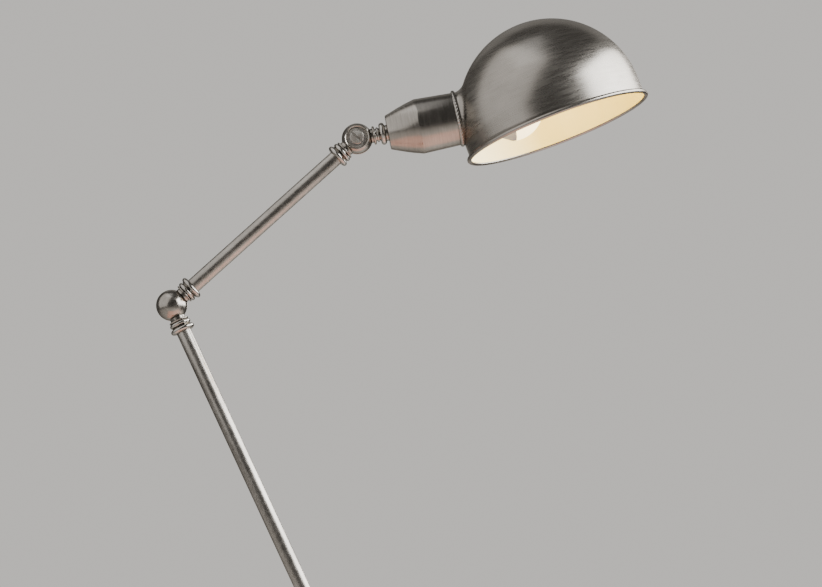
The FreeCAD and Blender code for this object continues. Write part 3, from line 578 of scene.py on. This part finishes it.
def shade_piece():
    """The whole shade: metal outside, enamel inside, rolled rim and neck flange."""
    bm = bmesh.new()
    bead_r, bead_z = DOME_R + 1.5, BEAD_R - SKIRT
    bead = arc(bead_r, bead_z, BEAD_R, -178, 128, 36)
    skirt = [(DOME_R - 0.15, bead_z + 2.2)] + [(DOME_R, bead_z + 2.6 + 3.2 * i) for i in range(6)]
    outer = bead + skirt + arc(0, 0, DOME_R, 0, 90, 64)
    inner_r = DOME_R - WALL
    inner = [(inner_r + 0.1, bead_z)] + [(inner_r, bead_z + 3.0 * i) for i in range(1, 7)]
    inner += arc(0, 0, inner_r, 0, 90, 60)
    outer_end, new_outer = dome_skin(bm, outer, 0.0, MOUTH, 0)
    inner_end, new_inner = dome_skin(bm, inner, WALL, MOUTH, 1)
    wrap_uv(bm, new_outer + new_inner)
    for k in range(NECK_RAYS):
        m = (k + 1) % NECK_RAYS
        bm.faces.new((outer_end[k], outer_end[m], inner_end[m], inner_end[k])).smooth = True
    flange = [(26.9, MOUTH), (28.8, MOUTH), (28.8, MOUTH + 1.1), (26.9, MOUTH + 1.1)]
    spin(bm, flange, 96)
    return finish_piece("shade_look", bm, head, "head", "shade_shell", ["shade"], 40)


shade = shade_piece()

# %% [markdown]
# ## The bulb
#
# The lamp holds a modern bulb. A moulded grey housing widens from the cap, and a round diffuser is pushed
# into its rim. The diffuser is the lamp's own light: it is spun as a ball, and its material glows, so the
# light rides with the head in every pose.

# %% Bulb housing and diffuser
BULB_END = 201.0
BULB_R = 35.0
BULB_LENGTH = 112.0
CAP_LENGTH = 26.0
HOUSING_R = 34.8
HOUSING_NECK_R = 13.8
BULB_RIM = BULB_END - 35.0
CAP_END = BULB_END - BULB_LENGTH + CAP_LENGTH
neck_end = (HOUSING_NECK_R, CAP_END + 6)
housing = [(0, CAP_END - 8), (11.6, CAP_END - 8), (11.6, CAP_END + 0.06)]
housing += [(HOUSING_NECK_R, CAP_END + 0.06, 0.5), neck_end]
housing += bow(neck_end, (24.72, (CAP_END + BULB_RIM + 2) / 2), (HOUSING_R, BULB_RIM - 4))
housing += [(HOUSING_R, BULB_RIM, 0.6), (33.3, BULB_RIM), (33.3, BULB_RIM - 3), (0, BULB_RIM - 3)]
turn_piece("bulb_housing_look", housing, head, "head", "grey_plastic", ["bulb_collar"], 96)
start = math.degrees(math.asin((BULB_RIM - BULB_END + BULB_R) / BULB_R))
diffuser = [(0, BULB_RIM - 2.9), (33.2, BULB_RIM - 2.9), (33.2, BULB_RIM)]
diffuser += arc(0, BULB_END - BULB_R, BULB_R, start, 90, 32)
turn_piece("bulb_look", diffuser, head, "head", "opal_glass", ["bulb_glass"], 96)

# %% [markdown]
# ## The base
#
# The base cover is spun steel over the cast weight: a rolled edge, a flat step, a long shallow rise and a
# raised boss where the upright stands. Its outline is long and quiet, so small roundings make the
# difference.

# %% Base cover
def base_outline():
    """Outside of the cover, then its inside, from the bottom edge over the boss and back."""
    outside = [(140.0, 2.5, 0.3), (140.0, 20.0, 5.0), (123.0, 21.0)]
    outside += bow((123.0, 21.0), (119.0, 21.9), (116.0, 24.0), 8)
    outside += bow((116.0, 24.0), (77.0, 30.0), (32.0, 31.0), 24)
    outside += bow((32.0, 31.0), (26.2, 32.9), (24.0, 34.5), 8)
    outside += bow((24.0, 34.5), (23.1, 36.3), (21.0, BOSS_TOP), 8)
    inside = [(5.3, BOSS_TOP), (5.3, 35.8), (19.8, 35.8), (22.8, 33.3), (30.8, 29.8), (76.3, 28.8)]
    inside += [(114.8, 22.8), (121.8, 19.8), (134.4, 18.8), (138.8, 14.4), (138.8, 2.5)]
    return outside + inside


turn_piece("base_cover_look", base_outline(), upright, "stand", "pewter_steel", ["base_cover"], 256)

# %% [markdown]
# ## Screws in the recesses
#
# Each knuckle's pivot screw has a broad slotted head. The slot has to be cut across a turned head.
# Pushing a strip of the lathe's faces down would bend the rows, so a boolean takes the slot out and its
# result is kept as the mesh.

# %% Slotted screws
SCREW_TOP = 12.28
SCREW_R = 7.5
SCREW_UNDERSIDE = 8.8
SHANK_R = 2.9
SHANK_END = -9.5
SLOT_SIZE = (30, 1.8, 3.0)
SLOT_TURN = 35


def loose_object(name, bm):
    """An object in the scene from a mesh in the making, which is used up."""
    mesh = bpy.data.meshes.new(name)
    bm.to_mesh(mesh)
    bm.free()
    made = bpy.data.objects.new(name, mesh)
    bpy.context.scene.collection.objects.link(made)
    return made


def slotted_screw(name, centre, angle, side, body, replaced):
    """Turned screw head and shank with a slot cut across the head; side is where the head faces in Y."""
    slopes = [math.radians(a) for a in range(25, 90, 12)]
    crown = [(SCREW_R * math.cos(t), SCREW_TOP - 1.0 + 1.0 * math.sin(t)) for t in slopes]
    shank = [(0, SHANK_END), (SHANK_R, SHANK_END), (SHANK_R, SCREW_UNDERSIDE), (SCREW_R, SCREW_UNDERSIDE, 0.3)]
    bm = bmesh.new()
    spin(bm, rounded(shank + [(SCREW_R, SCREW_TOP - 1.2, 0.3)] + crown + [(0, SCREW_TOP)]), 72)
    head_object = loose_object(name + "_blank", bm)
    turned = Matrix.Rotation(math.radians(SLOT_TURN), 4, "Z")
    bm = bmesh.new()
    slot = Matrix.Translation((0, 0, SCREW_TOP)) @ turned @ Matrix.Diagonal((*SLOT_SIZE, 1))
    bmesh.ops.create_cube(bm, size=1.0, matrix=slot)
    cutter = loose_object("slot_cutter", bm)
    cut = head_object.modifiers.new("slot", "BOOLEAN")
    cut.object, cut.solver = cutter, "EXACT"
    bpy.context.view_layer.update()
    graph = bpy.context.evaluated_depsgraph_get()
    bm = bmesh.new()
    bm.from_mesh(bpy.data.meshes.new_from_object(head_object.evaluated_get(graph)))
    for o in (cutter, head_object):
        bpy.data.objects.remove(o)
    bmesh.ops.transform(bm, matrix=Matrix.Rotation(math.radians(-90 * side), 4, "X"), verts=bm.verts)
    return finish_piece(name, bm, seat(centre, angle), body, "pewter_steel", replaced, 25)


slotted_screw("shoulder_screw_look", shoulder, LOWER_ARM, -1, "lower_arm", ["shoulder_pivot_screw"])
slotted_screw("elbow_screw_look", elbow, LOWER_ARM + 180, 1, "lower_arm", ["elbow_pivot_screw"])
slotted_screw("wrist_screw_look", wrist, HEAD, -1, "wrist_swivel", ["wrist_pivot_screw"])

# %% [markdown]
# ## Brushed antique nickel
#
# The metal is nickel plate, darkened and then rubbed back, so it is warm grey, uneven in tone and finely
# brushed. The brush marks run round each turned piece, and they stretch every highlight across
# themselves. The shader's anisotropy does that, with its tangent taken from the UV map. The UV map holds
# the turn and the run, so the turn is bent into a circle first, which hides the seam, and a noise along
# the run then draws the marks. Grooves and hollows get painted shade: the pointiness of the mesh darkens
# their colour.

# %% The metal
def new_material(name):
    """An empty node material, its nodes and links, and its shader."""
    material = bpy.data.materials.new(name)
    material.use_nodes = True
    tree = material.node_tree
    return material, tree.nodes, tree.links, tree.nodes["Principled BSDF"]


def ramp(nodes, links, source, stops):
    """A colour ramp fed by a source; stops are (position, colour) pairs."""
    node = nodes.new("ShaderNodeValToRGB")
    while len(node.color_ramp.elements) < len(stops):
        node.color_ramp.elements.new(0.5)
    for element, (position, colour) in zip(node.color_ramp.elements, stops):
        element.position = position
        element.color = (*colour, 1.0) if len(colour) == 3 else colour
    links.new(source, node.inputs["Fac"])
    return node.outputs["Color"]


def noise(nodes, links, vector, scale, detail=3.0, stretch=(1, 1, 1)):
    """Noise on a stretched vector; returns its value."""
    mapping = nodes.new("ShaderNodeMapping")
    mapping.inputs["Scale"].default_value = stretch
    links.new(vector, mapping.inputs["Vector"])
    node = nodes.new("ShaderNodeTexNoise")
    node.inputs["Scale"].default_value = scale
    node.inputs["Detail"].default_value = detail
    links.new(mapping.outputs["Vector"], node.inputs["Vector"])
    return node.outputs["Fac"]


def math_node(nodes, links, operation, a, b=None):
    """One sum or function of one or two numbers, each a socket or a value."""
    node = nodes.new("ShaderNodeMath")
    node.operation = operation
    for socket, value in zip(node.inputs, (a, b)):
        if value is None:
            continue
        if isinstance(value, (int, float)):
            socket.default_value = value
        else:
            links.new(value, socket)
    return node.outputs[0]


def lathe_space(nodes, links, uv, round_, along):
    """Vector that runs round a circle with the turn and along its axis with the run, so it has no seam."""
    split = nodes.new("ShaderNodeSeparateXYZ")
    links.new(uv, split.inputs[0])
    turn = math_node(nodes, links, "MULTIPLY", split.outputs[0], 2 * math.pi)
    joined = nodes.new("ShaderNodeCombineXYZ")
    for socket, operation in zip(joined.inputs, ("COSINE", "SINE")):
        bent = math_node(nodes, links, operation, turn)
        links.new(math_node(nodes, links, "MULTIPLY", bent, round_), socket)
    links.new(math_node(nodes, links, "MULTIPLY", split.outputs[1], along), joined.inputs[2])
    return joined.outputs[0]


# Painted shade: grooves and hollows take this darker colour, multiplied in by the mesh's pointiness.
HOLLOW_SHADE = (0.25, 0.23, 0.21)
UNSHADED = (1.0, 1.0, 1.0)


def brushed_metal(name, dark, light, rough, marks_per_cm=7.0, length=1.6):
    """Brushed metal whose marks follow the UV map's turn, with painted shade in its grooves."""
    material, nodes, links, shader = new_material(name)
    where = nodes.new("ShaderNodeTexCoord")
    lathe = lathe_space(nodes, links, where.outputs["UV"], length, marks_per_cm)
    marks = noise(nodes, links, lathe, 1.0, 3.0)
    clouds = noise(nodes, links, where.outputs["Object"], 26.0, 4.0)
    tone = nodes.new("ShaderNodeMix")
    tone.inputs[0].default_value = 0.45
    links.new(clouds, tone.inputs[2])
    links.new(marks, tone.inputs[3])
    colour = ramp(nodes, links, tone.outputs[0], [(0.35, dark), (0.65, light)])
    # Painted shade in grooves and hollows, found by the mesh's pointiness and multiplied into the colour.
    shape = nodes.new("ShaderNodeNewGeometry")
    painted_shade = ramp(nodes, links, shape.outputs["Pointiness"], [(0.41, HOLLOW_SHADE), (0.485, UNSHADED)])
    shaded_tone = nodes.new("ShaderNodeMix")
    shaded_tone.data_type, shaded_tone.blend_type = "RGBA", "MULTIPLY"
    shaded_tone.inputs[0].default_value = 1.0
    links.new(colour, shaded_tone.inputs[6])
    links.new(painted_shade, shaded_tone.inputs[7])
    links.new(shaded_tone.outputs[2], shader.inputs["Base Color"])
    spread = nodes.new("ShaderNodeMapRange")
    spread.inputs[1].default_value, spread.inputs[2].default_value = 0.3, 0.7
    spread.inputs[3].default_value, spread.inputs[4].default_value = rough
    links.new(marks, spread.inputs[0])
    links.new(spread.outputs[0], shader.inputs["Roughness"])
    bump = nodes.new("ShaderNodeBump")
    bump.inputs["Strength"].default_value = 0.03
    bump.inputs["Distance"].default_value = 0.0001
    links.new(marks, bump.inputs["Height"])
    links.new(bump.outputs["Normal"], shader.inputs["Normal"])
    tangent = nodes.new("ShaderNodeTangent")
    tangent.direction_type = "UV_MAP"
    links.new(tangent.outputs[0], shader.inputs["Tangent"])
    shader.inputs["Anisotropic"].default_value = 0.5
    shader.inputs["Metallic"].default_value = 1.0
    shader.inputs["Specular Tint"].default_value = (0.62, 0.60, 0.57, 1.0)
    return material


PLATE_DARK = (0.36, 0.34, 0.31)
PLATE_LIGHT = (0.50, 0.475, 0.44)
nickel = brushed_metal("brushed_antique_nickel", PLATE_DARK, PLATE_LIGHT, (0.18, 0.27))
spun_nickel = brushed_metal("spun_antique_nickel", (0.38, 0.36, 0.33), PLATE_LIGHT, (0.24, 0.31), 5.0, 4.0)
drawn = brushed_metal("drawn_antique_nickel", (0.40, 0.38, 0.35), (0.58, 0.555, 0.52), (0.26, 0.34), 2.0, 2.5)
dull = brushed_metal("dull_antique_nickel", PLATE_DARK, (0.62, 0.60, 0.56), (0.42, 0.60), 12.0, 6.0)
polished = brushed_metal("rubbed_antique_nickel", (0.50, 0.48, 0.45), (0.62, 0.60, 0.565), (0.13, 0.20), 4.0)

# %% [markdown]
# ## Enamel and the lit diffuser
#
# Inside the shade is cream enamel, a glossy glass coat that is never quite even. It stands so near the
# bulb that it looks lit from within: almost white beside the neck, and a deeper yellow at the far end.
# Bounced light alone stays too dim for that, so the enamel glows a little too, by its place along the
# head. The diffuser simply glows.

# %% Enamel and glowing diffuser
GLOW_START = 0.11
GLOW_RUN = 0.20
GLOW_STOPS = [(0.1, (1.0, 0.90, 0.58)), (0.45, (0.56, 0.42, 0.11)), (1.0, (0.34, 0.235, 0.02))]


def enamel_material():
    """Cream enamel with a faint ripple, glowing most beside the neck."""
    material, nodes, links, shader = new_material("cream_enamel")
    where = nodes.new("ShaderNodeTexCoord")
    ripple = noise(nodes, links, where.outputs["Object"], 30.0, 2.0)
    links.new(ramp(nodes, links, ripple, [(0.3, (0.76, 0.61, 0.23)), (0.7, (0.82, 0.68, 0.30))]),
              shader.inputs["Base Color"])
    dot = nodes.new("ShaderNodeVectorMath")
    dot.operation = "DOT_PRODUCT"
    links.new(where.outputs["Object"], dot.inputs[0])
    dot.inputs[1].default_value = direction(HEAD)
    start = wrist.dot(direction(HEAD)) * MM + GLOW_START
    ahead = math_node(nodes, links, "SUBTRACT", dot.outputs["Value"], start)
    share = math_node(nodes, links, "DIVIDE", ahead, GLOW_RUN)
    links.new(ramp(nodes, links, share, GLOW_STOPS), shader.inputs["Emission Color"])
    shader.inputs["Emission Strength"].default_value = 2.6
    shader.inputs["Roughness"].default_value = 0.32
    shader.inputs["Coat Weight"].default_value = 0.5
    bump = nodes.new("ShaderNodeBump")
    bump.inputs["Strength"].default_value = 0.08
    bump.inputs["Distance"].default_value = 0.0004
    links.new(ripple, bump.inputs["Height"])
    links.new(bump.outputs["Normal"], shader.inputs["Normal"])
    return material


def glow_material():
    """Warm white diffuser, lit from inside."""
    material, nodes, links, shader = new_material("lit_diffuser")
    where = nodes.new("ShaderNodeTexCoord")
    haze = noise(nodes, links, where.outputs["Object"], 40.0, 2.0)
    tint = ramp(nodes, links, haze, [(0.2, (1.0, 0.80, 0.42)), (0.8, (1.0, 0.85, 0.50))])
    links.new(tint, shader.inputs["Base Color"])
    links.new(tint, shader.inputs["Emission Color"])
    shader.inputs["Emission Strength"].default_value = 4.5
    shader.inputs["Roughness"].default_value = 0.3
    return material


enamel = enamel_material()
lit_diffuser = glow_material()

# %% [markdown]
# ## The small parts' finishes
#
# Zinc, brass, cast iron, rubber, fibre and moulded plastic are mostly hidden, but each still gets its own
# grain: a speckle for castings and rubber, a fine mottling for mouldings, a soft tarnish for brass.

# %% Other finishes
def grained(name, dark, light, scale, rough, metallic=0.0, bump_strength=0.1):
    """A plain finish with a grain in colour, gloss and relief."""
    material, nodes, links, shader = new_material(name)
    where = nodes.new("ShaderNodeTexCoord")
    grain = noise(nodes, links, where.outputs["Object"], scale, 5.0)
    links.new(ramp(nodes, links, grain, [(0.3, dark), (0.7, light)]), shader.inputs["Base Color"])
    spread = nodes.new("ShaderNodeMapRange")
    spread.inputs[3].default_value, spread.inputs[4].default_value = rough
    links.new(grain, spread.inputs[0])
    links.new(spread.outputs[0], shader.inputs["Roughness"])
    bump = nodes.new("ShaderNodeBump")
    bump.inputs["Strength"].default_value = bump_strength
    bump.inputs["Distance"].default_value = 0.0003
    links.new(grain, bump.inputs["Height"])
    links.new(bump.outputs["Normal"], shader.inputs["Normal"])
    shader.inputs["Metallic"].default_value = metallic
    return material


finishes = {
    "pewter": nickel,
    "pewter_steel": nickel,
    "shade_shell": spun_nickel,
    "opal_glass": lit_diffuser,
    "plain_steel": grained("zinc_plate", (0.42, 0.42, 0.43), (0.55, 0.55, 0.57), 300, (0.3, 0.45), 1.0, 0.05),
    "brass": grained("turned_brass", (0.55, 0.38, 0.16), (0.75, 0.56, 0.28), 200, (0.22, 0.4), 1.0, 0.05),
    "cast_iron": grained("painted_casting", (0.02, 0.02, 0.02), (0.05, 0.05, 0.05), 400, (0.5, 0.8), 0.0, 0.6),
    "rubber": grained("black_rubber", (0.015,) * 3, (0.035, 0.034, 0.033), 900, (0.65, 0.9), 0.0, 0.4),
    "fibre": grained("vulcanised_fibre", (0.14, 0.05, 0.03), (0.24, 0.10, 0.06), 600, (0.55, 0.75)),
    "phenolic": grained("moulded_phenolic", (0.03, 0.024, 0.02), (0.06, 0.05, 0.042), 350, (0.25, 0.4)),
    "black_plastic": grained("moulded_black", (0.012, 0.012, 0.012), (0.025, 0.025, 0.025), 700, (0.4, 0.55)),
    "grey_plastic": grained("moulded_grey", (0.60, 0.60, 0.58), (0.68, 0.68, 0.66), 500, (0.4, 0.5), 0.0, 0.08),
    "cap_metal": grained("rolled_aluminium", (0.62, 0.61, 0.58), (0.78, 0.77, 0.74), 250, (0.25, 0.4), 1.0,
                         0.05),
    "solder": grained("dull_solder", (0.42, 0.42, 0.42), (0.6, 0.6, 0.6), 500, (0.35, 0.5), 1.0, 0.2),
    "black_glass": grained("fused_glass", (0.01, 0.01, 0.012), (0.02, 0.02, 0.025), 300, (0.1, 0.2)),
}
slot_of = {s["node"]: s["material_slot"] for s in frame["record"]["subparts"]}
for piece in bpy.data.objects:
    if piece.type != "MESH":
        continue
    slot_name = slot_of.get(piece.get("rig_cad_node"), piece.get("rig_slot"))
    rings = any(word in piece.name for word in ("ring_look", "rings_look", "ferrule", "collar_look"))
    marked = [f.material_index for f in piece.data.polygons]
    piece.data.materials.clear()
    finish = polished if rings else drawn if "tube_look" in piece.name else finishes[slot_name]
    piece.data.materials.append(dull if "screw_look" in piece.name else finish)
    if any(marked):
        piece.data.materials.append(enamel if piece == shade else dull)
        piece.data.polygons.foreach_set("material_index", marked)
        print(piece.name, "has", sum(marked), "of", len(marked), "faces in", piece.data.materials[1].name)
print("finishes:", len(bpy.data.materials))

# %% [markdown]
# ## Floor, light and camera
#
# The studio is plain: a pale floor and soft boxes in a quiet surround. Brushed metal only looks like
# metal when it has something light and something dark to mirror. A strong box stands on the right and a
# dim broad one on the left, with a dark gap between them behind the camera. A warm panel lies just above
# the floor and faces up, so undersides pick up a copper tone with a clean edge. The surround is pale
# straight behind the lamp and dark elsewhere. The camera stands a little below the head and looks up.

# %% Floor
bm = bmesh.new()
bmesh.ops.create_grid(bm, x_segments=1, y_segments=1, size=6.0)
floor_mesh = bpy.data.meshes.new("floor")
bm.to_mesh(floor_mesh)
bm.free()
floor = bpy.data.objects.new("floor", floor_mesh)
bpy.context.scene.collection.objects.link(floor)
pale_floor = grained("pale_floor", (0.62, 0.60, 0.57), (0.66, 0.64, 0.61), 2, (0.6, 0.7), 0.0, 0.0)
floor.data.materials.append(pale_floor)


# %% Lights
def soft_box(name, place, target, width, height, glow, colour=(1, 1, 1)):
    """A rectangular area light aimed at a point; glow is its brightness per area, as a mirror would show it."""
    light = bpy.data.lights.new(name, "AREA")
    light.shape, light.size, light.size_y = "RECTANGLE", width, height
    light.energy, light.color = glow * math.pi * width * height, colour
    lamp = bpy.data.objects.new(name, light)
    lamp.location = place
    lamp.rotation_euler = (Vector(target) - Vector(place)).to_track_quat("-Z", "Y").to_euler()
    bpy.context.scene.collection.objects.link(lamp)
    lamp.visible_camera = False
    return lamp


aim = (0.15, 0, 1.38)
soft_box("right_box", (1.95, 0.0, 2.2), aim, 3.5, 1.8, 6.5, (1.0, 0.99, 0.97))
soft_box("left_box", (-1.95, -0.95, 2.55), aim, 4.0, 4.5, 0.8, (1.0, 0.965, 0.93))
soft_box("rear_box", (0.2, 2.6, 3.6), aim, 3.6, 1.6, 0.3)
soft_box("over_box", (-0.65, -0.55, 3.3), (-0.65, -0.55, 0.0), 1.3, 1.5, 0.45)
soft_box("low_warm", (0.42, -0.19, 0.045), (0.42, -0.19, 2.0), 2.16, 1.54, 0.55, (1.0, 0.20, 0.03))

# %% Surround
world = bpy.data.worlds.new("studio")
bpy.context.scene.world = world
world.use_nodes = True
nodes, links = world.node_tree.nodes, world.node_tree.links
facing = nodes.new("ShaderNodeTexCoord")
split = nodes.new("ShaderNodeSeparateXYZ")
links.new(facing.outputs["Generated"], split.inputs[0])
greys = [(0.0, (0.075, 0.072, 0.068)), (0.93, (0.14, 0.135, 0.13)), (0.965, (0.64, 0.62, 0.59))]
links.new(ramp(nodes, links, split.outputs[1], greys), nodes["Background"].inputs["Color"])
nodes["Background"].inputs["Strength"].default_value = 1.0

# %% Camera
SENSOR = 36
LENS = 125.67
LOOKS_UP = 7.197
camera = bpy.data.objects.new("camera", bpy.data.cameras.new("camera"))
camera.data.sensor_width = SENSOR
camera.data.lens = LENS
camera.location = (0.0562, -3.0, 0.85)
camera.rotation_euler = (math.radians(90 + LOOKS_UP), 0, 0)
bpy.context.scene.collection.objects.link(camera)
bpy.context.scene.camera = camera
